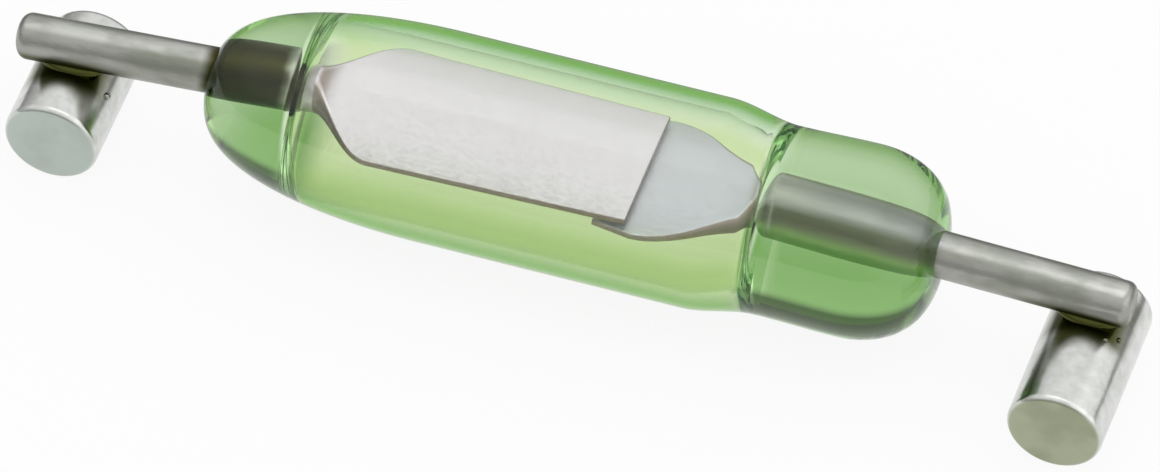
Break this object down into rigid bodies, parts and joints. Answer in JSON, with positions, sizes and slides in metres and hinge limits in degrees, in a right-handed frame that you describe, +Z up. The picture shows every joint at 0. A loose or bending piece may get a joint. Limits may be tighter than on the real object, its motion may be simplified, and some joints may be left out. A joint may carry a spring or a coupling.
{
  "type": "glass reed switch",
  "caption": "Sealed green glass tube with overlapping flat reeds that close in a magnetic field; each wire lead is welded onto a short round bar that solders flat to a board.",
  "frame": {"origin": "on the board plane that both terminal bars rest on, midway between the bars and under the leads", "axes": "+X along the tube from the long left reed's end to the short right reed's end, +Y along the bars away from the viewer, +Z up from the board"},
  "size_m": [0.0098, 0.002, 0.0019],
  "materials": {
    "green_glass": "clear, polished, tinted yellow-green",
    "lead_wire": "dull plated nickel-iron wire",
    "left_reed_metal": "satin, pale plated",
    "right_reed_metal": "satin, blue-grey plated",
    "terminal_tin": "bright tin plate"
  },
  "bodies": {
    "envelope": {"glass_envelope": "green_glass", "left_lead": "lead_wire", "left_terminal_bar": "terminal_tin", "right_lead": "lead_wire", "right_terminal_bar": "terminal_tin"},
    "left_reed": {"left_blade": "left_reed_metal"},
    "right_reed": {"right_blade": "right_reed_metal"}
  },
  "joints": [
    {"name": "left_blade_flex", "type": "hinge", "parent": "envelope", "child": "left_reed", "pos_m": [-0.00223, 0, 0.00118], "axis": [0, 1, 0], "range_deg": [0, 0.55], "stiffness_Nm_per_rad": 0.00319},
    {"name": "right_blade_flex", "type": "hinge", "parent": "envelope", "child": "right_reed", "pos_m": [0.00171, 0, 0.00109], "axis": [0, 1, 0], "range_deg": [0, 0.131], "stiffness_Nm_per_rad": 0.00652}
  ]
}
